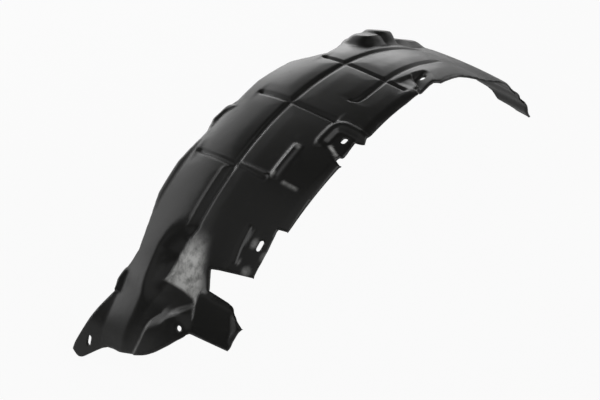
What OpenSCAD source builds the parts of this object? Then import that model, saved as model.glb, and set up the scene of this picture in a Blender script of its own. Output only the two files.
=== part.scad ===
// Wheel arch liner: one sheet of black plastic, formed over an arch and
// trimmed to shape. X runs along the car with the toe end at -X, the wheel
// side is underneath, +Y is the inboard side and +Z is up.

/* [Arch] */
// Radius of the outer skin along the long groove
arch_r = 362; // [300:1:430]
// Thickness of the sheet
wall = 2.4; // [1.8:0.1:3.2]
// Reach of the sheet outboard of the long groove
outboard_w = 106; // [90:1:130]
// Reach of the sheet inboard of the long groove
inboard_w = 60; // [50:1:75]
// How far the outboard edge lies below the crest line
outboard_drop = 7; // [2:0.5:12]
// How far the inboard edge lies below the crest line
inboard_drop = 9; // [4:0.5:14]
// Angle of the toe end from the top of the arch
toe_angle = 76; // [74.5:0.5:86]
// Angle of the tail end from the top of the arch
tail_angle = 53; // [53:0.2:62]

/* [Grooves] */
// Depth of the stiffening grooves
groove_d = 3.2; // [2:0.1:4.5]
// Width of the stiffening grooves at the skin
groove_w = 10; // [7:0.5:12]
// Angle of the first cross groove, on the toe side
cross_1 = -29.8; // [-32:0.1:-26]
// Angle of the second cross groove
cross_2 = -13; // [-15:0.1:-11]
// Angle of the third cross groove, on the tail side
cross_3 = 3; // [1:0.1:4]

/* [Edges] */
// Depth of the skirt that is turned down along the inboard edge
skirt_h = 14; // [9:0.5:20]
// Height of the three domes on the inboard edge
dome_h = 15; // [10:1:20]
// Height of the boot of the toe end, from its valley to its ridge
boot_h = 22; // [16:1:27]

// How far the sheet rises over the tail before its end
tail_rise = 8; // [4:0.5:12]

/* [Holes] */
// Width of the slots for the edge fixings
slot_w = 6; // [4.5:0.5:7.5]
// Length of the slots for the edge fixings
slot_l = 13; // [10:0.5:16]
// Length of the two short slots on the tail side
slot_short = 10; // [8.5:0.5:12]
// How far the slots lie in from the outboard edge
slot_inset = 16; // [13:0.5:20]
// Diameter of the round hole in the boot
hole_d = 6.5; // [5:0.5:8]

/* [Hidden] */
$fn = 40;

// Half widths of a groove: at the skin, and at its flat floor
gw = groove_w / 2;
gf = groove_w / 5;
// The same on the arch, as an angle
ga = gw / arch_r * 180 / PI;
gfa = gf / arch_r * 180 / PI;
// Longest step between two stations, in degrees
step = 2.5;

// Outboard edge, as angle and share of the outboard reach (positive)
out_edge = [
    [-toe_angle, -0.9], [-75.4, -0.85], [-72.8, -0.68], [-70.5, -0.52],
    [-70.1, -0.32], [-68.7, -0.08], [-67.4, 0.07], [-66, 0.18],
    [-63.5, 0.33], [-60.1, 0.51], [-59.7, 0.99], [-54.6, 0.99],
    [-53.4, 0.96], [-52.2, 0.84], [-51.8, 0.52], [-48.4, 0.43],
    [-47.9, 0.53], [-46.4, 0.92], [-40.6, 0.92], [-36.9, 0.90],
    [-36.5, 1], [-21, 1.04], [-20.5, 0.97], [-18.6, 1],
    [-14.9, 0.97], [-14.4, 1.06], [-3, 1.02], [4.3, 1],
    [4.9, 0.92], [11, 0.92], [12.5, 0.98], [21, 0.92],
    [24, 0.94], [35.5, 1.05], [38.7, 1.04], [42, 1],
    [43, 1.06], [46.5, 1.05], [47, 1.12], [tail_angle, 1.12]
];
// Inboard edge, as angle and share of the inboard reach
in_edge = [
    [-toe_angle, 1.7], [-75.2, 1.83], [-73.6, 1.79], [-71.3, 1.69],
    [-64.3, 1.38], [-60.5, 1.2], [-58.5, 1.19], [-56.4, 1.13],
    [-54.2, 1.03], [-51.6, 0.97], [-49.3, 1], [-46, 1.06],
    [-40.5, 1.19], [-33.3, 1.2], [-29, 1.13], [-25.7, 1.07],
    [-24.2, 1.12], [-22.5, 1.16], [-19, 1.12], [-16.5, 1.02],
    [-9.7, 1.08], [-1.5, 0.97], [1.5, 0.72], [5, 0.55],
    [9, 0.62], [14, 0.85], [24, 0.95], [32, 0.85],
    [36, 0.2], [39, -0.6], [44, -0.6], [47.5, -0.64],
    [49.3, -1], [51.5, -1.13], [52.2, -1.5], [tail_angle, -1.6]
];

// Centre line of the long groove, as angle and place across
line_1 = [[-46, 5], [-44.6, 1], [-43, -3.5], [-36, -3], [-20, -2], [40, -2]];
// Centre line of the outboard run: a short groove, a rib and a long groove
line_3 = [
    [-47, -69], [-43, -65.5], [-38, -63.5], [-31, -54.5], [-21, -54.5],
    [-14, -58], [-6.3, -66], [-0.7, -65], [3.6, -62], [8.6, -59],
    [16.4, -55], [24.5, -53], [40, -56]
];
// Lines of the valley above the boot: its crease and its bottom
valley_crease = [
    [-62, -67], [-56, -63], [-52.2, -57], [-50.3, -51],
    [-48.2, -45], [-45.3, -37], [-41.7, -30]
];
valley_bottom = [
    [-58, 2], [-54.4, 0], [-51.5, 2], [-48.9, 2],
    [-46.3, -2], [-43.6, -7], [-41, -12]
];
// Upper line of the boot, as place across and angle
boot_top = [
    [-57, -60.5], [-51, -57.6], [-45, -55.9], [-35, -54.9],
    [-20, -54.4], [-3, -54.8], [10, -55.7]
];
// Ridge of the boot, and inner line of the flap beside it
boot_ridge = [[-71, 16], [-68.2, 13.6], [-65.4, 7.9], [-63.1, 3.4], [-61.4, 1]];
flap_base = [[-62, -60], [-59.2, -56.2], [-57.4, -54.4], [-55, -48.8], [-52.9, -46.6]];

// Angles that need a station of their own
breaks = concat(
    [for (p = out_edge) p[0]],
    [for (p = in_edge) p[0]],
    [for (c = [cross_1, cross_2, cross_3], d = [-ga, -gfa, gfa, ga]) c + d],
    [-62.5, -61.6, -60.8, -59.1, -57.7, -57, -55.6, -52.8, -46, -44.6, 9.7]
);

// Sorts a list of numbers and leaves out the doubles
function sorted(v) = len(v) < 2 ? v :
    let (p = v[floor(len(v) / 2)])
    concat(
        sorted([for (x = v) if (x < p - 0.28) x]),
        [p],
        sorted([for (x = v) if (x > p + 0.28) x])
    );

// Fills a sorted list so that no gap is over the longest step
function filled(v) = concat(
    [for (i = [0 : len(v) - 2])
        let (n = ceil((v[i + 1] - v[i]) / step))
        for (k = [0 : n - 1]) v[i] + (v[i + 1] - v[i]) * k / n],
    [v[len(v) - 1]]
);

stations = filled(sorted(breaks));

// 0 below a, 1 above b, and a smooth rise between them
function ramp(x, a, b) =
    let (t = min(1, max(0, (x - a) / (b - a))))
    t * t * (3 - 2 * t);
// 1 between a and b, with a smooth rise and fall of width w
function span(x, a, b, w) = ramp(x, a - w, a) * (1 - ramp(x, b, b + w));
// Section of a groove: 1 on its floor, 0 outside it
function section(d) = min(1, max(0, (gw - abs(d)) / (gw - gf)));
// Round bump of radius r about a place on the arch
function bump(a, y, a0, y0, ra, ry) =
    let (q = pow((a - a0) / ra, 2) + pow((y - y0) / ry, 2))
    q > 1 ? 0 : pow(1 - q, 1.5);

// Block with soft sides about a place on the arch
function block(a, y, a0, y0, ra, ry) =
    let (q = pow(abs((a - a0) / ra), 3) + pow(abs((y - y0) / ry), 3))
    1 - ramp(pow(q, 1 / 3), 0.45, 1);
// Distance from the edge of a rounded box, negative inside it
function rounded_box(x, y, hx, hy, r) =
    let (u = abs(x) - hx + r, v = abs(y) - hy + r)
    norm([max(u, 0), max(v, 0)]) + min(max(u, v), 0) - r;

// Distance along the arch, in millimetres, for an angle
function arc(a) = a * PI / 180 * arch_r;

function out_y(a) = -outboard_w * lookup(a, out_edge);
function in_y(a) = inboard_w * lookup(a, in_edge);

// Crown of the section: falls away to both edges, but not at the foot
function crown(a, y) = y < 0
    ? -outboard_drop * pow(y / outboard_w, 2)
    : -inboard_drop * min(1.2, pow(y / inboard_w, 2)) * ramp(a, -68, -58);

// The grooves less the ribs, as a depth
function grooves(a, y) =
    let (
        long_1 = section(y - lookup(a, line_1)) * ramp(a, -46, -44.5) * (1 - ramp(a, 24, 32)),
        d3 = section(y - lookup(a, line_3)),
        long_3 = d3 * (ramp(a, -7.4, -6.6) * (1 - ramp(a, 18, 27)) + 0.8 * span(a, -45.2, -39, 0.8)),
        c1 = section(arc(a - cross_1)),
        c2 = section(arc(a - cross_2)) * span(y, -66, 44, 5),
        c3 = section(arc(a - cross_3)) * span(y, -90, 28, 5),
        rib = max(0.8 * d3 * span(a, -28.7, -21.4, 0.5),
            0.5 * c1 * max(span(y, -47, -10, 4), span(y, -88, -69, 2)))
    )
    groove_d * (max(long_1, long_3, c1 * span(y, 8, 56, 5), c2, c3) - rib);

// The pockets round the slots less the beads beside them, as a depth
function pockets(a, y) =
    let (
        edge_2 = rounded_box(arc(a + 16.5), y + 96, 18, 20, 9),
        recess_2 = ramp(-edge_2, -2, 4),
        bead_2 = ramp(-abs(edge_2 - 4), -5, -0.3) * ramp(a, -19.6, -18.6),
        left_3 = 9.1 + 0.1157 * (y + 75.4),
        right_3 = lookup(y, [[-99, 10.9], [-79.4, 13.7], [-70.8, 14]]),
        slope_3 = min(1, max(0, (right_3 - a) / (right_3 - left_3 - 0.5))),
        floor_3 = slope_3 * ramp(a, left_3 - 0.4, left_3 + 0.5) * (1 - ramp(y, -76, -70.5)),
        rise_1 = bump(a, y, -42.2, -103, 3, 9)
    )
    3 * recess_2 - 2.6 * bead_2 + 7 * floor_3 - 3 * rise_1;

// Two lengths of the outboard edge are turned down
function lip(a, y) =
    -3 * min(1.2, max(0, (out_y(a) + 9 - y) / 9))
    * (span(a, -36, -21.5, 1.5) + span(a, -12, 3, 1.5));

// The three domes on the inboard edge
function domes(a, y) = dome_h * max(
    0.73 * block(a, y, 17, 34, 5, 24),
    block(a, y, 21.9, 38, 4.4, 27),
    0.46 * block(a, y, 30.2, 36, 8.2, 26)
);

// A valley falls from the arch to the boot. The boot rises out of it to a
// brow, and a ridge runs down its face. The flap lies beside them.
function boot(a, y) =
    let (
        crease = lookup(a, valley_crease),
        bottom = lookup(a, valley_bottom),
        beyond = max(y - bottom, arc(lookup(y, boot_top) - a)),
        t = min(1, max(0, (y - crease) / (y - crease + max(-beyond, 0) + 0.001))),
        section = beyond < 0 ? t * (1.35 - 0.35 * t) : 1 - ramp(beyond, 0, 25),
        valley = 0.62 * ramp(-a, 41, 51) * (1 - 0.8 * ramp(-a, 54, 61)) * section,
        brow = 1 - ramp(a + 0.125 * (y + 20) + 58.9, -1.5, 1.3),
        ridge = lookup(a, boot_ridge),
        right = 0.8 * ramp(y, -62, ridge)
            + 0.2 * min(1, max(0, (y + 58) / (ridge + 58))),
        left = (1 - ramp(y, ridge + 6, ridge + 34)) * (1 - 0.5 * ramp(y, ridge, ridge + 5)),
        face = 0.36 * brow * (y < ridge ? right : left) * (1 - 0.4 * ramp(-a, 62, 75)),
        base = lookup(a, flap_base),
        flap = (1 - ramp(a, -53, -52.5)) * (1 - ramp(y, base, base + 5))
    )
    boot_h * ((1 - flap) * (face - valley) + 0.12 * flap);

// Short lengths of the inboard edge turn up
function side_tabs(a, y) =
    3 * span(a, -60.2, -56, 0.6) * min(1, max(0, (y - 61) / 9));

function formed_r(a, y) = arch_r + crown(a, y) - grooves(a, y) - pockets(a, y)
    + domes(a, y) + boot(a, y) + side_tabs(a, y) + lip(a, y)
    + tail_rise * span(a, 38, 45, 9);

// Flat pad round the hole in the boot, so that a clip seats squarely
pad_a = -59.9;
pad_y = -42;
pad_r = formed_r(pad_a, pad_y);
pad_fall = (formed_r(pad_a, pad_y + 6) - formed_r(pad_a, pad_y - 6)) / 12;

function skin_r(a, y) =
    let (w = 1 - ramp(norm([arc(a - pad_a), y - pad_y]), hole_d * 1.7, hole_d * 3))
    w * (pad_r + pad_fall * (y - pad_y)) + (1 - w) * formed_r(a, y);

function place(a, y, r) = [r * sin(a), y, r * cos(a)];

// Numbers of cells across, from outboard to inboard
n1 = 4;
n2 = 8;
n3 = 6;

// Places across the sheet for the points of one row. The columns run straight
// along the arch, and are pushed in only where the edge of the sheet is.
function across(a) =
    let (
        lo = out_y(a),
        hi = in_y(a),
        m3 = lookup(a, line_3),
        m1 = lookup(a, line_1),
        first = -1.15 * outboard_w,
        last = max(1.1 * inboard_w, hi),
        ys = concat(
            [for (i = [0 : n1]) first + (m3 - gw - first) * i / n1],
            [m3 - gf, m3 + gf],
            [for (i = [0 : n2]) m3 + gw + (m1 - m3 - 2 * gw) * i / n2],
            [m1 - gf, m1 + gf],
            [for (i = [0 : n3]) m1 + gw + (last - m1 - gw) * i / n3]
        ),
        k = len(ys) - 1
    )
    [for (j = [0 : k]) min(max(ys[j], lo + 0.3 * j), hi - 0.3 * (k - j))];

function unit(v) = v / norm(v);
// Normal of the skin, taken from its slopes along the arch and across it
function skin_n(a, y) =
    let (
        along = (skin_r(a + 0.35, y) - skin_r(a - 0.35, y)) / arc(0.7),
        over = (skin_r(a, y + 2) - skin_r(a, y - 2)) / 4
    )
    unit(place(a, -over, 1) - along * [cos(a), 0, -sin(a)]);

// One row at an angle, as points and normals, with turned edges at both ends
function row(a) =
    let (
        ys = across(a),
        lo = ys[0],
        hi = ys[len(ys) - 1],
        rl = skin_r(a, lo),
        rh = skin_r(a, hi),
        skirt = skirt_h * ramp(a, -60, -54) * (1 - ramp(a, 26, 34)),
        up = place(a, 0, 1)
    )
    concat(
        [[place(a, lo - 1.5, rl - 1), unit(skin_n(a, lo) - [0, 0.5, 0])]],
        [for (y = ys) [place(a, y, skin_r(a, y)), skin_n(a, y)]],
        [[place(a, hi + 2, rh - 2 - 0.3 * skirt), unit(up * 0.5 + [0, 1, 0])],
         [place(a, hi + 3, rh - 3 - skirt), unit(up * 0.2 + [0, 1, 0])]]
    );

rows = [for (a = stations) row(a)];
nu = len(rows);
nv = len(rows[0]);
outer = [for (r = rows) [for (p = r) p[0]]];
inner = [for (r = rows) [for (p = r) p[0] - wall * p[1]]];

all_points = concat([for (r = outer) each r], [for (r = inner) each r]);
xs = [for (p = all_points) p[0]];
yy = [for (p = all_points) p[1]];
zs = [for (p = all_points) p[2]];
// Moves the arch so that the middle of its foot is the origin
home = [-(min(xs) + max(xs)) / 2, -(min(yy) + max(yy)) / 2, -min(zs)];

// Two triangles for one cell of the grid
function cell(a, b, c, d) = [[a, b, c], [a, c, d]];

module sheet() {
    n = nu * nv;
    faces = concat(
        [for (i = [0 : nu - 2], j = [0 : nv - 2])
            let (p = i * nv + j)
            each cell(p, p + nv, p + nv + 1, p + 1)],
        [for (i = [0 : nu - 2], j = [0 : nv - 2])
            let (p = n + i * nv + j)
            each cell(p, p + 1, p + nv + 1, p + nv)],
        [for (i = [0 : nu - 2])
            let (p = i * nv)
            each cell(p, n + p, n + p + nv, p + nv)],
        [for (i = [0 : nu - 2])
            let (p = i * nv + nv - 1)
            each cell(p, p + nv, n + p + nv, n + p)],
        [for (j = [0 : nv - 2])
            each cell(j, j + 1, n + j + 1, n + j)],
        [for (j = [0 : nv - 2])
            let (p = (nu - 1) * nv + j)
            each cell(p, n + p, n + p + 1, p + 1)]
    );
    polyhedron(points = all_points, faces = faces, convexity = 8);
}

// Puts a cutter at a place on the arch, pointing out from its centre
module drill(a, y) {
    translate(place(a, y, skin_r(a, y)))
        rotate([0, a, 0])
            children();
}

// A slot along the arch, cut through the sheet
module slot(w, l) {
    d = l - w;
    for (s = [-1, 1])
        translate([s * d / 2, 0, 0])
            cylinder(d = w, h = 30, center = true);
    cube([d, w, 30], center = true);
}

module liner() {
    color("#2b2c2d")
        translate(home)
            difference() {
                sheet();
                drill(-40.9, slot_inset - outboard_w + 3) slot(slot_w, slot_l);
                drill(-15.7, slot_inset - outboard_w - 1.7) slot(slot_w, slot_short);
                drill(11.3, slot_inset - outboard_w + 9) slot(slot_w, slot_short);
                drill(-71.6, 85.3) slot(slot_w, slot_l);
                drill(pad_a, pad_y)
                    rotate([atan(pad_fall), 0, 0])
                        cylinder(d = hole_d, h = 40, center = true);
            }
}

liner();
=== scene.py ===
# %% [markdown]
# # A wheel arch liner in black plastic
# The liner is one sheet of polyethylene, warmed and drawn over a mould, then
# trimmed with a knife. It fills the wheel arch of a car and keeps spray off
# the body. The script forms the same sheet again, finer than the solid that
# the frame holds, and gives it the satin skin of drawn plastic.

# %% Load the frame
import bpy
import math
import numpy as np
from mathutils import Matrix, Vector
from mathutils.geometry import delaunay_2d_cdt


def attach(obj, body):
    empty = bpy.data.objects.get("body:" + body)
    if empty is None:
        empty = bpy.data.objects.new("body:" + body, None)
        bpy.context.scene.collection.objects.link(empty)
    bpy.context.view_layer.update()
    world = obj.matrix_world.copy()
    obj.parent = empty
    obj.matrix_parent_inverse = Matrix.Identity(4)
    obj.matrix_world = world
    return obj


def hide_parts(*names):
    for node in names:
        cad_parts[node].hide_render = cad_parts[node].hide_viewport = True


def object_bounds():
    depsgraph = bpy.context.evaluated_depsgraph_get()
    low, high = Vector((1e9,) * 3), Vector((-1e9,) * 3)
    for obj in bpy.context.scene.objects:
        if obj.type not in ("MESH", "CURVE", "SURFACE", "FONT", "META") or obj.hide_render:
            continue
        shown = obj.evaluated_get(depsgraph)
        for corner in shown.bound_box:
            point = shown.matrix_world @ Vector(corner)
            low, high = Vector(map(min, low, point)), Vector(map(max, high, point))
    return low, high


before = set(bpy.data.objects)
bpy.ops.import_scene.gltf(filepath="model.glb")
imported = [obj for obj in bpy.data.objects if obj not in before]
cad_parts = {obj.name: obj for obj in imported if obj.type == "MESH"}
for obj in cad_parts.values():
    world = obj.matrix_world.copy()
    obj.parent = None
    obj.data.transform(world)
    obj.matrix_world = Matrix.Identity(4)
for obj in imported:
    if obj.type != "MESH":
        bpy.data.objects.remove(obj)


def plain_box():
    low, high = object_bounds()
    return [[float(v) for v in low], [float(v) for v in high]]


solid_box = plain_box()
print("solid box, metres:", solid_box)

# %% [markdown]
# ## The arch
# The sheet is a strip bent round the tyre, so it is described as the mould
# maker would: by an angle `a` from the top of the arch, with the toe end on
# the negative side, and a place `y` across it. A curve with a bevel would
# give the same bend, but no handle on single places. Lengths are in
# millimetres and angles in degrees, under the solid's own names.

# %% Sizes of the arch
arch_r = 362.0
outboard_w, inboard_w = 106.0, 60.0
toe_angle, tail_angle = 76.0, 53.0


def along(a):
    """Length on the arch from its top."""
    return np.radians(a) * arch_r


def look_up(a, table):
    """Value between the rows of a table, by straight lines."""
    return np.interp(a, [row[0] for row in table], [row[1] for row in table])


print("length on the arch:", round(float(along(toe_angle + tail_angle))), "mm")

# %% [markdown]
# ## The two edges
# The knife leaves steps, tabs and notches on both long sides. They could be
# cut with booleans. Here each edge is a table of angles and of shares of the
# sheet's width, so that the whole edge follows when the width changes.

# %% Outboard and inboard edge
out_edge = [
    (-toe_angle, -0.9), (-75.4, -0.85), (-72.8, -0.68), (-70.5, -0.52),
    (-70.1, -0.32), (-68.7, -0.08), (-67.4, 0.07), (-66, 0.18),
    (-63.5, 0.33), (-60.1, 0.51), (-59.7, 0.99), (-56.5, 1.03), (-54.9, 1.085),
    (-53.3, 0.925), (-52.2, 0.84), (-51.8, 0.52), (-48.4, 0.43),
    (-47.9, 0.53), (-46.4, 0.92), (-40.6, 0.92), (-36.9, 0.90),
    (-36.5, 1), (-21, 1.04), (-20.5, 0.97), (-18.6, 1),
    (-14.9, 0.97), (-14.4, 1.06), (-3, 1.02), (4.3, 1),
    (4.9, 0.92), (11, 0.92), (12.5, 0.98), (21, 0.92),
    (24, 0.94), (35.5, 1.05), (38.7, 1.04), (42, 1),
    (43, 1.06), (46.5, 1.05), (47, 1.12), (tail_angle, 1.12),
]
in_edge = [
    (-toe_angle, 1.7), (-75.2, 1.83), (-73.6, 1.79), (-71.3, 1.69),
    (-64.3, 1.38), (-60.5, 1.2), (-58.5, 1.19), (-56.4, 1.13),
    (-54.2, 1.03), (-51.6, 0.97), (-49.3, 1), (-46, 1.06),
    (-40.5, 1.19), (-33.3, 1.2), (-29, 1.13), (-25.7, 1.07),
    (-24.2, 1.12), (-22.5, 1.16), (-19, 1.12), (-16.5, 1.02),
    (-9.7, 1.08), (-1.5, 0.97), (1.5, 0.72), (5, 0.55),
    (9, 0.62), (14, 0.85), (24, 0.95), (32, 0.85),
    (36, 0.2), (39, -0.6), (44, -0.6), (47.5, -0.64),
    (49.3, -1.0), (51.5, -1.13), (52.2, -1.5), (tail_angle, -1.6),
]


def out_y(a):
    return -outboard_w * look_up(a, out_edge)


def in_y(a):
    return inboard_w * look_up(a, in_edge)


print("width at the top of the arch:", round(float(in_y(0) - out_y(0))), "mm")

# %% [markdown]
# ## Soft curves
# A drawn sheet has no sharp steps: each groove, pocket and dome runs out in a
# soft curve. So the form is a height over the arch, written as a sum of soft
# ramps and bumps. The alternative is to sculpt by hand, which would lose the
# link to the solid.

# %% Ramps, bumps and boxes
def ramp(x, low, high):
    """0 before low, 1 after high, and a soft S between them."""
    t = np.clip((x - low) / (high - low), 0, 1)
    return t * t * (3 - 2 * t)


def span(x, low, high, run):
    """1 from low to high, with a ramp of the given run at each end."""
    return ramp(x, low - run, low) * (1 - ramp(x, high, high + run))


def bump(a, y, a0, y0, half_a, half_y):
    q = ((a - a0) / half_a) ** 2 + ((y - y0) / half_y) ** 2
    return np.clip(1 - q, 0, 1) ** 1.5


def block(a, y, a0, y0, half_a, half_y):
    """A bump with a flatter top and squarer corners."""
    q = (np.abs((a - a0) / half_a) ** 3 + np.abs((y - y0) / half_y) ** 3) ** (1 / 3)
    return 1 - ramp(q, 0.45, 1)


def rounded_box(x, y, half_x, half_y, radius):
    """Distance from the edge of a rounded box, negative inside it."""
    u, v = np.abs(x) - half_x + radius, np.abs(y) - half_y + radius
    outside = np.hypot(np.maximum(u, 0), np.maximum(v, 0))
    return outside + np.minimum(np.maximum(u, v), 0) - radius


print("a ramp a quarter of the way up:", float(ramp(0.25, 0, 1)))

# %% [markdown]
# ## Crown, grooves and ribs
# The sheet is crowned a little across, so that water runs off. One long
# groove, a shorter one at the toe end, a run near the outboard edge and three
# cross grooves stiffen it, with raised ribs beside some of them. Where two
# grooves meet, the deeper one counts, as on a real mould. Bevelled curves
# would need a boolean at each crossing.

# %% Crown and grooves
outboard_drop, inboard_drop = 7.0, 9.0
groove_d, groove_w = 3.2, 10.0
cross_1, cross_2, cross_3 = -29.8, -13.0, 3.0
line_1 = [(-46, 5), (-44.6, 1), (-43, -3.5), (-36, -3), (-20, -2), (40, -2)]
line_2 = [(-47, -69), (-45.4, -68), (-43, -65.5), (-38, -63.5)]
line_3 = [
    (-7.2, -57), (-6.3, -65), (-4.5, -66.5), (-0.7, -65), (3.6, -62),
    (8.6, -59), (16.4, -55), (24.5, -53), (40, -56),
]


def crown(a, y):
    inboard = inboard_drop * np.minimum(1.2, (y / inboard_w) ** 2)
    outboard = outboard_drop * (y / outboard_w) ** 2
    return -np.where(y < 0, outboard, inboard * ramp(a, -68, -58))


def groove_section(d):
    """Section of a groove: a narrow floor inside a wide, shallow dip."""
    near = ramp(-np.abs(d), -groove_w / 2, -0.4)
    far = ramp(-np.abs(d), -2.2 * groove_w, -0.4)
    return 0.74 * near + 0.26 * far


def grooves(a, y):
    off_1 = groove_section(y - look_up(a, line_1))
    off_2 = groove_section(y - look_up(a, line_2))
    off_3 = groove_section(y - look_up(a, line_3))
    runs = [
        off_1 * ramp(a, -46, -44.5) * (1 - ramp(a, 24, 32)),
        0.6 * off_2 * span(a, -45.2, -39, 0.8),
        off_3 * ramp(a, -7.4, -6.6) * (1 - ramp(a, 18, 27)),
        groove_section(along(a - cross_1)) * span(y, 0, 54, 8),
        groove_section(along(a - cross_2)) * span(y, -66, 44, 5),
        groove_section(along(a - cross_3)) * span(y, -90, 28, 5),
    ]
    return groove_d * np.maximum.reduce(runs)


print("groove at the top of the arch:", round(float(grooves(0, -2)), 2), "mm deep")

# %% Ribs
def rib_section(d, half):
    return ramp(-np.abs(d), -half, -0.3)


def ribs(a, y):
    wide = 4.0 + 3.0 * ramp(-y, 8, 50)
    beside_1 = look_up(a, line_1) + 9
    return groove_d * np.maximum.reduce([
        0.32 * rib_section(y - beside_1, 4.5) * span(a, -43.5, -31.5, 1),
        1.15 * rib_section(y + 54.5, 7.5) * span(a, -28.7, -21.4, 0.5),
        1.3 * rib_section(along(a - cross_1 - 0.4), wide) * span(y, -47, -10, 4),
        0.55 * rib_section(along(a - cross_1 - 0.8), 4.0) * span(y, -87, -70, 4),
    ])


print("rib beside the first cross groove:", round(float(ribs(cross_1 + 0.4, -30)), 2), "mm")

# %% [markdown]
# ## Pockets and the outboard lip
# A screw head needs a flat place to pull on, so three slots near the outboard
# edge sit in pockets below the skin, some with a raised bead round them. The
# edge itself turns down in two places. Each pocket is a few ramps, which keeps
# its walls as soft as the photograph shows them.

# %% Pockets and lip
def pockets(a, y):
    """Depth of the three pockets, less the beads round them."""
    edge_2 = rounded_box(along(a + 16.5), y + 96, 18, 20, 9)
    recess_2 = ramp(-edge_2, -1, 4)
    bead_2 = rib_section(edge_2 - 5, 7) * ramp(a + 0.08 * (y + 80), -19.6, -18.6)
    near_wall = ramp(a - 0.0867 * (y + 84), -19.2, -18.2)
    left_3 = 9.1 + 0.1157 * (y + 75.4)
    right_3 = look_up(y, [(-99, 10.9), (-79.4, 13.7), (-70.8, 14)])
    slope_3 = np.clip((right_3 - a) / (right_3 - left_3 - 0.5), 0, 1)
    floor_3 = slope_3 * ramp(a, left_3 - 0.4, left_3 + 0.5) * (1 - ramp(y, -76, -70.5))
    step_3 = ramp(a, 3.2, 5.5) * (1 - ramp(a, 7.5, 10))
    step_3 = step_3 * (1 - ramp(y, -76, -70)) * ramp(y, -104, -78)
    ring_1 = bump(a, y, -40.4, -75, 2.3, 7)
    rise_1 = bump(a, y, -42.2, -103, 3.0, 9)
    cut = recess_2 * (1.6 + 2.4 * near_wall) + 9.0 * floor_3 + 2.5 * step_3
    bead = 2.0 * bead_2 + 1.2 * ring_1 + 3.0 * rise_1
    return cut - bead


def lip(a, y):
    turned = np.clip((out_y(a) + 9 - y) / 9, 0, 1.2)
    return -3.0 * turned * (span(a, -36, -21.5, 1.5) + span(a, -12, 0, 4))


print("pocket of the middle slot:", round(float(pockets(-15.7, -91.7)), 2), "mm deep")

# %% [markdown]
# ## Domes
# Three domes on the inboard edge make room for parts of the wheel's
# suspension. Their tops are nearly flat and they grow into one another, so a
# block with soft corners is a better start than a sphere.

# %% Domes of the inboard edge
dome_h = 15.0


def domes(a, y):
    return dome_h * np.maximum.reduce([
        0.73 * block(a, y, 17, 34, 5, 24),
        block(a, y, 21.9, 38, 4.4, 27),
        0.46 * block(a, y, 30.2, 36, 8.2, 26),
    ])


print("height of the largest dome:", round(float(domes(21.9, 38)), 2), "mm")

# %% [markdown]
# ## The valley, the boot and the flap
# At the toe end the sheet covers a corner of the body. A valley with a sharp
# crease is drawn down there, and below it stands the boot, with a dome, a brow
# under which the face falls away, and a ridge down to its lower edge. A flap
# leaves it on the outboard side. Creases wander, so each is a line in a table,
# and the skin is blended between those lines. Subdivision with creased edges
# was the other way, but it would soften the brow and the ridge alike.

# %% Lines of the valley, the boot and the flap
valley_crease = [
    (-62, -67), (-56, -63), (-52.2, -57), (-50.3, -51), (-48.2, -45),
    (-45.3, -37), (-41.7, -30),
]
valley_bottom = [
    (-58, 14), (-54.4, 12), (-51.5, 11), (-48.9, 9), (-46.3, 3),
    (-43.6, -4), (-41, -11),
]
valley_wall = [(-56, 19), (-50, 24), (-45, 32)]
boot_top = [
    (-57, -60.5), (-51, -57.6), (-45, -55.9), (-35, -54.9), (-20, -54.4),
    (-3, -54.3), (12, -54.3),
]
boot_ridge = [
    (-71, 13), (-68.6, 8.5), (-65.4, 2.5), (-63, -0.5), (-61.6, -3),
    (-60.6, -7), (-59.4, -14),
]
band_crest = [(-66, 31), (-61.6, 27), (-57, 25), (-50.4, 27)]
flap_fold = [(-58.5, -103), (-57.8, -101), (-56, -99), (-54.2, -94), (-52.5, -88)]
flap_base = [(-62, -60), (-59.2, -56.2), (-57.4, -54.4), (-55, -48.8), (-52.9, -46.6)]
print("ridge of the boot, mm across:", boot_ridge[0][1], "to", boot_ridge[-1][1])

# %% Valley above the boot
wall_run, top_run = 25, 32


def valley_depth(a, y):
    """Depth of the valley, as a share of the boot's height."""
    crease, bottom = look_up(a, valley_crease), look_up(a, valley_bottom)
    over = (y - bottom) * wall_run / look_up(a, valley_wall)
    under = along(look_up(y, boot_top) - a) * wall_run / top_run
    nearest = np.maximum(over, under)
    corner = np.hypot(np.maximum(over, 0), np.maximum(under, 0))
    beyond = np.where(nearest < 0, nearest, corner)
    t = np.clip((y - crease) / (y - crease + np.maximum(-beyond, 0) + 1e-6), 0, 1)
    section = np.where(beyond < 0, t * (0.35 + 0.65 * t), 1 - ramp(beyond, 0, wall_run))
    return 0.78 * ramp(-a, 41, 51) * (1 - 0.85 * ramp(-a, 50, 60)) * section


print("valley, share of the boot's height:", round(float(valley_depth(-51, 11)), 2))

# %% Boot with its brow, ridge and band, and the flap beside it
boot_h = 22.0


def boot_face(a, y):
    """Height of the face under the brow, and of the band beside the ridge."""
    soft = 1.2 * ramp(y, -24, -12) + 2.4 * ramp(-y, 36, 47)
    brow = 1 - ramp(a + 0.125 * (y + 20) + 58.6, -1.4 - soft, 1.2 + soft)
    ridge, crest = look_up(a, boot_ridge), look_up(a, band_crest)
    run_out = 1 - np.clip((y - crest) / (68 - crest), 0, 1)
    right = 0.85 * ramp(y, -66, -52) + 0.15 * np.clip((y + 62) / (ridge + 62), 0, 1)
    beside = ramp(y, ridge, ridge + 5.5)
    front = (brow * right * (1 - beside) + 0.5 * ramp(-a, 55, 66) * beside) * run_out
    front = front * (1 - 0.4 * ramp(-a, 62, 75))
    band = 0.55 * span(a, -67, -57, 6) * run_out * ramp(y, crest - 22, crest + 2)
    return 0.36 * (front ** 4 + band ** 4) ** 0.25


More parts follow.
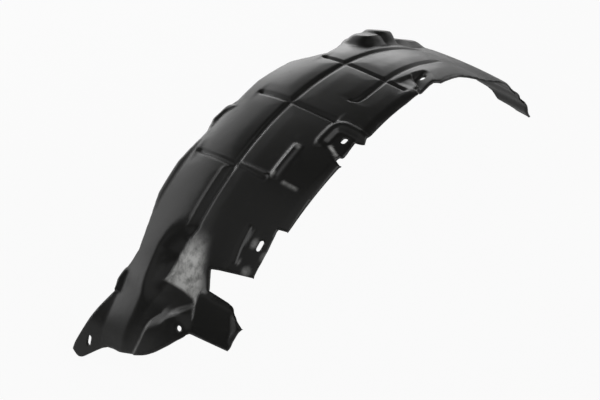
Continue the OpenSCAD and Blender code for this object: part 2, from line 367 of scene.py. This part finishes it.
def boot(a, y):
    base = look_up(a, flap_base)
    flap = (1 - ramp(a, -53.0, -52.5)) * (1 - ramp(y, base, base + 5))
    rim = (1 - np.clip((y - out_y(a)) * 0.65 / 3.5, 0, 1)) ** 2 * span(a, -68, -60.8, 0.8)
    folded = np.clip((look_up(a, flap_fold) - y) / 8, 0, 1.5)
    fold = folded * ramp(-a, 52.2, 54.2) * ramp(a, -60, -59)
    form = (1 - flap) * (boot_face(a, y) - valley_depth(a, y))
    return boot_h * (form + 0.12 * flap + 0.08 * rim + 0.15 * fold)


print("height of the ridge over the arch:", round(float(boot(-64.0, 5.0)), 1), "mm")

# %% [markdown]
# ## The whole skin
# Short lengths of the inboard edge turn up, the tail rises in a step with
# shallow ripples, and the round hole has a small flat pad, because a clip
# seats on it. All heights are added to the arch's radius. One sum is easier to
# check than a stack of modifiers.

# %% Tabs, tail and the sum of all forms
tail_rise = 8.0
ripple_h, ripple_from = 1.6, 41


def side_tabs(a, y):
    """Short lengths of the inboard edge that turn up instead of down."""
    boot_side = 3 * span(a, -60.2, -56, 0.6) * np.clip((y - 61) / 9, 0, 1)
    line = look_up(a, [(-25, 70), (-22.9, 67.6), (-20.5, 64), (-18.2, 56)])
    return boot_side + 1.5 * span(a, -24, -18.6, 0.8) * np.clip((y - line) / 5, 0, 1)


def formed_r(a, y):
    wave = 0.5 - 0.5 * np.cos(np.radians((a - ripple_from) * 90))
    ripple = ripple_h * wave * ramp(a, ripple_from, ripple_from + 2)
    step = tail_rise * span(a, 38, 45, 9)
    raised = ribs(a, y) + domes(a, y) + boot(a, y) + side_tabs(a, y) + lip(a, y) + step
    return arch_r + crown(a, y) - grooves(a, y) - pockets(a, y) + raised - ripple


print("radius at the top of the arch:", round(float(formed_r(0, -30)), 1), "mm")

# %% Pad round the hole
hole_d = 6.5
pad_a, pad_y, pad_reach = -59.9, -42.0, 6
pad_r = float(formed_r(pad_a, pad_y))
pad_ends = formed_r(np.array([pad_a, pad_a]), np.array([pad_y - pad_reach, pad_y + pad_reach]))
pad_fall = float(np.diff(pad_ends)[0]) / (2 * pad_reach)


def skin_r(a, y):
    away = np.hypot(along(a - pad_a), y - pad_y)
    w = 1 - ramp(away, hole_d * 0.8, hole_d * 1.8)
    return w * (pad_r + pad_fall * (y - pad_y)) + (1 - w) * formed_r(a, y)


print("pad slopes by:", round(pad_fall, 3), "mm a millimetre")

# %% [markdown]
# ## The blank
# Laid out flat, the sheet is a long strip with steps, tabs and slots cut into
# it. The script draws that flat blank first: the knife line with its corners
# eased, and the holes. A constrained triangulation fills it, so every cut
# edge is exact, which a cut grid would leave ragged.

# %% A line with eased corners
def eased(corners, small=1.6, large=40.0):
    """Corners replaced by arcs: tight ones where the line turns sharply."""
    corners = [np.array(c, float) for c in corners]
    line = []
    for i, c in enumerate(corners):
        before, after = corners[i - 1], corners[(i + 1) % len(corners)]
        u, v = before - c, after - c
        lu, lv = np.linalg.norm(u), np.linalg.norm(v)
        u, v = u / lu, v / lv
        turn = math.pi - math.acos(float(np.clip(u @ v, -1, 1)))
        if turn < 0.02:
            line.append(c)
            continue
        radius = small if turn > 0.7 else large
        cut = min(radius * math.tan(turn / 2), 0.48 * lu, 0.48 * lv)
        start, end = c + u * cut, c + v * cut
        steps = max(2, int(turn / 0.2))
        for t in (k / steps for k in range(steps + 1)):
            line.append((1 - t) ** 2 * start + 2 * t * (1 - t) * c + t * t * end)
    return np.array(line)


def resampled(line, longest):
    """A closed line with no piece longer than the given length."""
    out = []
    for i in range(len(line)):
        a, b = line[i], line[(i + 1) % len(line)]
        n = max(1, int(math.ceil(np.linalg.norm(b - a) / longest)))
        out += [a + (b - a) * k / n for k in range(n)]
    return np.array(out)


print("a square with eased corners:", len(eased([(0, 0), (9, 0), (9, 9), (0, 9)])), "points")

# %% Knife line of the blank
skirt_h = 14.0


def skirt(a):
    """Depth of the strip that is turned down along the inboard edge."""
    return skirt_h * ramp(a, -60, -54) * (1 - ramp(a, 26, 34))


def with_skirt():
    """Inboard edge of the blank, with the strip that is turned down."""
    run_in, run_out = set(np.arange(-60, -53, 1.0)), set(np.arange(26, 35, 1.0))
    angles = sorted({row[0] for row in in_edge} | run_in | run_out)
    return [(along(a), float(in_y(a) + skirt(a))) for a in angles]


corners = [(along(a), -outboard_w * share) for a, share in out_edge] + with_skirt()[::-1]
knife_line = resampled(eased(corners), 2.2)
print("knife line:", len(knife_line), "points,", round(float(np.ptp(knife_line[:, 0]))), "mm long")

# %% Holes in the blank
slot_w, slot_l, slot_short = 6.0, 13.0, 10.0


def slot_line(a, y, width, length):
    """Outline of a slot along the arch. The skin's radius stretches it."""
    stretch = arch_r / float(skin_r(a, y))
    turn = np.linspace(-math.pi / 2, math.pi / 2, 9)
    half = (length - width) / 2
    right = [(half + width / 2 * math.cos(t), width / 2 * math.sin(t)) for t in turn]
    left = [(-x, -v) for x, v in right]
    return np.array([(along(a) + x * stretch, y + v) for x, v in right + left])


def round_line(a, y, diameter, fall):
    """Outline of a round hole in a skin that slopes across the arch."""
    turn = np.linspace(0, 2 * math.pi, 25)[:-1]
    half_a = diameter / 2 * arch_r / pad_r
    half_y = diameter / 2 * math.cos(math.atan(fall))
    return np.array([(along(a) + half_a * math.cos(t), y + half_y * math.sin(t)) for t in turn])


holes = [
    slot_line(-40.9, -87, slot_w, slot_l),
    slot_line(-15.7, -91.7, slot_w, slot_short),
    slot_line(11.3, -81, slot_w, slot_short),
    slot_line(-71.6, 85.3, slot_w, slot_l),
    round_line(pad_a, pad_y, hole_d, pad_fall),
]
print("holes:", len(holes))

# %% Which points lie inside a line, and clear of it
def inside(points, loop):
    x, y = points[:, 0][:, None], points[:, 1][:, None]
    x0, y0 = loop[:, 0], loop[:, 1]
    x1, y1 = np.roll(x0, -1), np.roll(y0, -1)
    crosses = (y0 > y) != (y1 > y)
    with np.errstate(divide="ignore", invalid="ignore"):
        at = (x1 - x0) * (y - y0) / (y1 - y0) + x0
    return (np.sum(crosses & (x < at), axis=1) % 2) == 1


def clear_of(points, loop, gap):
    keep = np.ones(len(points), bool)
    for p in loop:
        keep &= np.hypot(points[:, 0] - p[0], points[:, 1] - p[1]) > gap
    return keep


print("the top of the arch is inside:", bool(inside(np.array([[0.0, 0.0]]), knife_line)[0]))

# %% Points inside the blank, closer together where the sheet bends
coarse, fine, bend_reach = 2.4, 1.2, 5


def fine_steps(low, high, places):
    x, out = low, [low]
    while x < high:
        near = min(abs(x - p) for p in places)
        x += fine if near < bend_reach else coarse
        out.append(x)
    return np.array(out)


bends_across = [-2, -54.5, -57, -62, -66, -75]
bends_along = [along(v) for v in (cross_1, cross_2, cross_3, -54.8, -59, -19, 9)]
columns = fine_steps(-112, 114, bends_across)
rows = fine_steps(along(-toe_angle), along(tail_angle), bends_along)
grid = np.array([(s, y) for s in rows for y in columns])
grid = grid[inside(grid, knife_line)]
grid = grid[clear_of(grid, knife_line, 1.2)]
for hole in holes:
    grid = grid[~inside(grid, hole)]
    grid = grid[clear_of(grid, hole, 0.9)]
print("points inside the blank:", len(grid))

# %% Triangles of the blank
def triangulated():
    points, edges = [], []
    for loop in [knife_line] + holes:
        start, count = len(points), len(loop)
        points += [tuple(p) for p in loop]
        edges += [(start + i, start + (i + 1) % count) for i in range(count)]
    points += [tuple(p) for p in grid]
    flat, _, faces, _, _, _ = delaunay_2d_cdt([Vector(p) for p in points], edges, [], 0, 1e-5)
    flat = np.array([tuple(p) for p in flat])
    faces = np.array(faces)
    centres = flat[faces].mean(axis=1)
    keep = inside(centres, knife_line)
    for hole in holes:
        keep &= ~inside(centres, hole)
    return flat, faces[keep]


flat, faces = triangulated()
print("triangles in the blank:", len(faces))

# %% [markdown]
# ## Forming the blank
# The mould wraps the blank round the arch, lifts the domes and the boot and
# turns the inboard strip down into a skirt. The same step is one function
# here: a point of the flat blank goes to its place on the arch. Curve and
# Displace modifiers could do it too, but not the turned strip.

# %% Form the blank over the arch
bend_r, bend_angle = 4.0, math.radians(78)
trim_w, trim_drop = 3.0, 1.0


def formed(flat):
    a = np.degrees(flat[:, 0] / arch_r)
    edge = in_y(a)
    over = np.clip(flat[:, 1] - edge, 0, None)
    y = np.minimum(flat[:, 1], edge)
    r = skin_r(a, y)
    turn = np.minimum(over / bend_r, bend_angle)
    rest = np.clip(over - bend_r * bend_angle, 0, None)
    y = y + bend_r * np.sin(turn) + rest * math.cos(bend_angle)
    r = r - bend_r * (1 - np.cos(turn)) - rest * math.sin(bend_angle)
    r = r - trim_drop * (1 - ramp(flat[:, 1] - out_y(a), 0, trim_w))
    t = np.radians(a)
    return np.stack([r * np.sin(t), y, r * np.cos(t)], axis=1)


skin_points = formed(flat)
print("formed sheet spans, mm:", np.round(np.ptp(skin_points, axis=0), 1))

# %% [markdown]
# ## Where light is painted on the skin
# The pale, mottled patch on the steep side of the valley is a painted sheen,
# and the pale lines and spots on the ridge of the boot and on a few corners of
# ribs and pockets are painted highlights. Painting them by hand would do, but
# the same lines that made the forms also say where they are steep, so the
# painted light is worked out and kept on the points.

# %% Painted sheen and highlights, place by place
def sheen_paint_strength(a, y):
    """Near 1 where sheen and highlights are painted pale, and 0 elsewhere."""
    crease, bottom = look_up(a, valley_crease), look_up(a, valley_bottom)
    inside_line = np.minimum(bottom - y, along(a - look_up(y, boot_top)))
    side = ramp(inside_line, -1.5, 3) * ramp((y - crease) / (bottom - crease), 0.04, 0.45)
    base = look_up(a, flap_base)
    off_flap = np.where(a < -52.5, ramp(y, base + 1, base + 5), 1)
    ridge_highlight = rib_section(y - look_up(a, boot_ridge) - 3.0, 3.2) * span(a, -70, -61.8, 0.8)
    slot_wall = (a + 18.3 - 0.087 * (y + 84)) * 6.3
    # Painted highlights: pale lines and spots on the ridge, a rib, rib ends, round the first slot
    # and on the wall of the middle slot's pocket.
    painted_highlights = [
        0.3 * ridge_highlight,
        0.35 * rib_section(along(a + 29.1), 3.2) * span(y, -87, -71, 3),
        0.45 * bump(a, y, -28.5, -53, 0.9, 4),
        0.35 * bump(a, y, -21.6, -56, 0.8, 4),
        0.35 * bump(a, y, -44.9, -74, 0.9, 2.5),
        0.8 * rib_section(slot_wall, 4) * span(y, -98, -85, 4),
        0.4 * bump(a, y, -41.0, -80.5, 1.3, 5),
        0.4 * bump(a, y, -45.9, -87, 1.2, 7),
        0.3 * bump(a, y, -42.4, -98, 1.3, 6),
    ]
    # Painted sheen: the pale patch on the steep side of the valley.
    valley_sheen = side * off_flap * ramp(-a, 42.5, 49.5) * (1 - 0.8 * ramp(-a, 56, 59))
    return np.maximum.reduce([valley_sheen] + painted_highlights)


# Painted sheen and highlights, from 0 to 1 at each point of the blank.
painted_sheen = sheen_paint_strength(np.degrees(flat[:, 0] / arch_r), flat[:, 1])
print("share of the sheet drawn hard:", round(float((painted_sheen > 0.5).mean()), 4))

# %% [markdown]
# ## The mesh
# The formed points are still in the mould's own place, with the arch's axis
# as origin. The solid was moved so that its box is centred over the floor,
# and the sheet takes the same step. It is checked against the solid's box,
# since the finer form must not reach past it.

# %% Put the sheet where the solid is
home = np.array([33.2536, 3.71, -86.7361])
placed = (skin_points + home) / 1000
low, high = np.array(solid_box[0]), np.array(solid_box[1])
past = np.maximum(low - placed.min(0), placed.max(0) - high)
print("outside the solid's box by, mm:", np.round(1000 * past, 2))
placed = np.clip(placed, low, high)

mesh = bpy.data.meshes.new("liner_sheet")
mesh.from_pydata([tuple(p) for p in placed], [], [tuple(int(i) for i in f) for f in faces])
mesh.update()
# The painted sheen and highlights ride on the points as an attribute.
mesh.attributes.new("painted_sheen", "FLOAT", "POINT").data.foreach_set("value", painted_sheen)
liner = bpy.data.objects.new("liner_sheet", mesh)
bpy.context.scene.collection.objects.link(liner)
outward = sum(p.normal.z for p in mesh.polygons) > 0
if not outward:
    mesh.flip_normals()
mesh.shade_smooth()
print("normals pointed out:", outward)

# %% [markdown]
# ## Thickness
# The knife leaves a square edge as thick as the sheet, and it catches a thin
# line of light all round. A Solidify modifier gives the sheet that edge.
# Extruding the rim by hand would do the same with more code.

# %% Give the sheet its thickness
wall = 2.4
thick = liner.modifiers.new("thickness", "SOLIDIFY")
thick.thickness = wall / 1000
thick.offset = -1
thick.use_even_offset = False
thick.use_quality_normals = True
bpy.context.view_layer.objects.active = liner
liner.select_set(True)
bpy.ops.object.modifier_apply(modifier="thickness")
print("triangles in the sheet:", sum(len(p.vertices) - 2 for p in liner.data.polygons))

# %% Tie the sheet to the solid that it stands for
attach(liner, "root")
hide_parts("liner")
print(liner.name, "replaces the node liner")

# %% [markdown]
# ## Shader helpers
# Shader maths could be wired node by node, but it reads best as plain
# expressions. `Link` wraps a socket, so that `1 - mask` or `a * b` adds the
# Math node that does it. Every other node comes from `Nodes.add`, which sets
# a node up before it feeds its sockets.

# %% Sockets as numbers
class Link:
    def __init__(self, nodes, socket):
        self.nodes, self.socket = nodes, socket

    def math(self, operation, a, b):
        return self.nodes.add("Math", {"operation": operation}, {0: a, 1: b})

    def __add__(self, other):
        return self.math("ADD", self, other)

    def __radd__(self, other):
        return self.math("ADD", other, self)

    def __sub__(self, other):
        return self.math("SUBTRACT", self, other)

    def __rsub__(self, other):
        return self.math("SUBTRACT", other, self)

    def __mul__(self, other):
        return self.math("MULTIPLY", self, other)

    def __rmul__(self, other):
        return self.math("MULTIPLY", other, self)


print("operators of a link:", [n for n in vars(Link) if n.startswith("__r")])

# %% Every other node
def ramp_stops(elements, stops):
    """Grey stops of a colour ramp, which starts with two of its own."""
    for i, (place, grey) in enumerate(stops):
        stop = elements[i] if i < 2 else elements.new(place)
        stop.position = place
        stop.color = (grey, grey, grey, 1)


class Nodes:
    """The emptied node tree of a material or a world."""

    def __init__(self, owner):
        owner.use_nodes = True
        self.tree = owner.node_tree
        self.tree.nodes.clear()

    def add(self, kind, settings, sockets, output=0):
        """Adds a node, sets it, feeds its sockets, and gives back one output."""
        made = self.tree.nodes.new("ShaderNode" + kind)
        for name, value in settings.items():
            if name == "stops":
                ramp_stops(made.color_ramp.elements, value)
            else:
                setattr(made, name, value)
        for name, value in sockets.items():
            if isinstance(value, Link):
                self.tree.links.new(value.socket, made.inputs[name])
            else:
                made.inputs[name].default_value = value
        return Link(self, made.outputs[output]) if len(made.outputs) else None


print("a node is added by:", Nodes.add.__name__)

# %% [markdown]
# ## Black polyethylene
# Drawn polyethylene is black right through, with a satin skin: the mould's
# fine grain, a slow waviness from uneven cooling, and a few pale scuffs from
# handling. Roughness and a low bump carry all of that, while the base colour
# moves very little. Besides that, sheen and highlights are painted pale into the
# base colour where the points carry them. An image would give more marks, but
# noise has no seams and stays sharp from near.

# %% Textures of the skin
black, scuffed = (0.0085, 0.0085, 0.0075, 1), (0.024, 0.024, 0.022, 1)
# Pale colour of the painted sheen and highlights.
sheen_paint_colour = (0.82, 0.82, 0.80, 1)
plastic = bpy.data.materials.new("black_polyethylene")
skin = Nodes(plastic)
place = skin.add("TexCoord", {}, {}, "Object")


def noise(scale, detail, rough):
    settings = {"Vector": place, "Scale": scale, "Detail": detail, "Roughness": rough}
    return skin.add("TexNoise", {}, settings, "Fac")


waves = noise(14.0, 3.0, 0.5)
patches = noise(60.0, 5.0, 0.6)
grain = noise(900.0, 2.0, 0.5)
blotches = noise(95.0, 6.0, 0.6)
# Where sheen and highlights are painted, read from the points.
painted_sheen_here = skin.add("Attribute", {"attribute_name": "painted_sheen"}, {}, "Fac")
print("texture nodes:", len(skin.tree.nodes))

# %% Colour, roughness and relief of the skin
scuff = skin.add("ValToRGB", {"stops": [(0.6, 0.0), (0.75, 1.0)]}, {"Fac": patches}, "Color")
mottle = skin.add("ValToRGB", {"stops": [(0.32, 0.3), (0.58, 1.0)]}, {"Fac": blotches}, "Color")
# Painted sheen and highlights, broken up by a mottle.
painted_sheen_mottled = painted_sheen_here * mottle
mix = {"data_type": "RGBA"}
worn = skin.add("Mix", mix, {0: scuff * 0.35, 6: black, 7: scuffed}, 2)
# Base colour: black with scuffs, turned pale by the painted sheen and highlights.
colour = skin.add("Mix", mix, {0: painted_sheen_mottled, 6: worn, 7: sheen_paint_colour}, 2)
roughness = 0.27 + 0.10 * waves + 0.12 * scuff + 0.04 * grain + 0.08 * painted_sheen_mottled
relief = 0.8 * waves + 0.24 * patches + 0.03 * grain + 0.5 * painted_sheen_here * blotches
normal = skin.add("Bump", {}, {"Height": relief, "Strength": 0.3, "Distance": 0.002})
body = skin.add("BsdfPrincipled", {}, {
    "Base Color": colour, "Roughness": roughness, "IOR": 1.5, "Normal": normal,
})
skin.add("OutputMaterial", {}, {"Surface": body})
liner.data.materials.clear()
liner.data.materials.append(plastic)
print("material nodes:", len(skin.tree.nodes))

# %% [markdown]
# ## Floor and world
# The photograph shows the liner on plain white. White light from all round
# would make it grey, because the sheet is a dark mirror that shows whatever
# stands round it. So the floor and the world are white to the camera's rays
# only, and dim to the sheet. The part has no metal and no glass, so nothing
# on it needs to mirror the white. The floor keeps a trace of its own shade,
# which leaves a faint shadow.

# %% Floor
floor_reach, floor_drop = 30.0, 0.0005
floor_grey = (0.75, 0.75, 0.75, 1)
floor_corners = [
    (-floor_reach, -floor_reach, 0), (floor_reach, -floor_reach, 0),
    (floor_reach, floor_reach, 0), (-floor_reach, floor_reach, 0),
]
floor_mesh = bpy.data.meshes.new("floor")
floor_mesh.from_pydata(floor_corners, [], [(0, 1, 2, 3)])
floor = bpy.data.objects.new("floor", floor_mesh)
floor.location.z = -floor_drop
bpy.context.scene.collection.objects.link(floor)
floor_paint = bpy.data.materials.new("pale_floor")
ground = Nodes(floor_paint)
seen = ground.add("LightPath", {}, {}, "Is Camera Ray")
white = ground.add("Emission", {}, {"Color": (1, 1, 1, 1), "Strength": 1.0})
matt = ground.add("BsdfDiffuse", {}, {"Color": floor_grey})
both = ground.add("MixShader", {}, {0: 0.10 + 0.83 * seen, 1: matt, 2: white})
ground.add("OutputMaterial", {}, {"Surface": both})
floor.data.materials.append(floor_paint)
print("floor:", 2 * floor_reach, "m wide")

# %% World: white to the camera, dim to the sheet
world = bpy.data.worlds.new("studio")
bpy.context.scene.world = world
air = Nodes(world)
glow = 0.07 + 0.93 * air.add("LightPath", {}, {}, "Is Camera Ray")
sky = air.add("Background", {}, {"Color": (1, 1, 1, 1), "Strength": glow})
air.add("OutputWorld", {}, {"Surface": sky})
print("world nodes:", len(air.tree.nodes))

# %% [markdown]
# ## Soft panels
# Black plastic is readable only by what it mirrors. `back_panel`, `toe_panel`
# and `tail_panel` stand behind the sheet and give the grey of its middle, its
# toe end and its far third. `high_panel` and `end_panel` lift the skin between
# them and the end of the tail, and `low_panel` the inboard edge near the floor.
# `back_lamp` is small and strong, and draws the lines of light on the ribs and
# the boot's ridge. Two wide, dim fills stand in front: `side_fill` shows the
# outboard edge with its pockets, and `toe_fill` the valley and the flap. An
# environment picture would light it too, but not one panel at a time.

# %% Panels
def panel(name, place, aim, width, height, glow):
    lamp = bpy.data.lights.new(name, "AREA")
    lamp.shape = "RECTANGLE"
    lamp.size, lamp.size_y = width, height
    lamp.energy = glow * math.pi * width * height
    holder = bpy.data.objects.new(name, lamp)
    holder.location = place
    holder.rotation_euler = (Vector(aim) - Vector(place)).to_track_quat("-Z", "Y").to_euler()
    bpy.context.scene.collection.objects.link(holder)
    return holder


middle = (0, 0, 0.15)
panels = [
    panel("back_panel", (0.35, 2.6, 1.35), (0.35, 0, 1.35), 2.5, 2.7, 0.98),
    panel("toe_panel", (-1.4, 2.6, 1.2), (-1.4, 0, 1.2), 1.0, 2.4, 1.65),
    panel("high_panel", (0.85, 1.8, 2.4), middle, 1.1, 0.8, 0.55),
    panel("tail_panel", (3.6, 2.6, 1.0), (3.6, 0, 1.0), 4.0, 2.0, 2.8),
    panel("end_panel", (4.6, 0.2, 0.8), (0, 0, 0.8), 2.4, 1.6, 0.8),
    panel("back_lamp", (0.5, 2.3, 0.8), middle, 0.9, 0.6, 5.0),
    panel("low_panel", (0.2, 1.65, 0.02), (0.2, 1.65, 1), 2.8, 1.4, 1.0),
    panel("side_fill", (0.4, -3.2, 2.1), middle, 3.4, 3.0, 1.7),
    panel("toe_fill", (-2.0, -0.35, 2.6), middle, 3.6, 3.2, 0.34),
]
print("panels:", len(panels))

# %% [markdown]
# ## Camera
# The photograph was taken from the toe end, well above the sheet. Matching
# the edges of the arch by eye would do for a sketch. Here the turn, the dip
# and the focal length come from fitting the arch's circle to its outline.

# %% Camera
turn, dip = math.radians(40.0336778), math.radians(34.07931925)
distance, focal_px, frame_px = 1.5, 1217.0, 600
aim_on_arch = np.array([-62.99, 0, 203.16])
view = Vector((math.cos(dip) * math.cos(turn), math.cos(dip) * math.sin(turn), -math.sin(dip)))
camera = bpy.data.objects.new("camera", bpy.data.cameras.new("camera"))
camera.location = Vector((aim_on_arch + home) / 1000) - view * distance
camera.rotation_euler = view.to_track_quat("-Z", "Y").to_euler()
camera.data.lens = camera.data.sensor_width * focal_px / frame_px
camera.data.clip_end = 200
bpy.context.scene.collection.objects.link(camera)
bpy.context.scene.camera = camera
bpy.context.scene.view_settings.view_transform = "Standard"
print("lens:", round(camera.data.lens, 1), "mm")

# %% [markdown] ## Finish
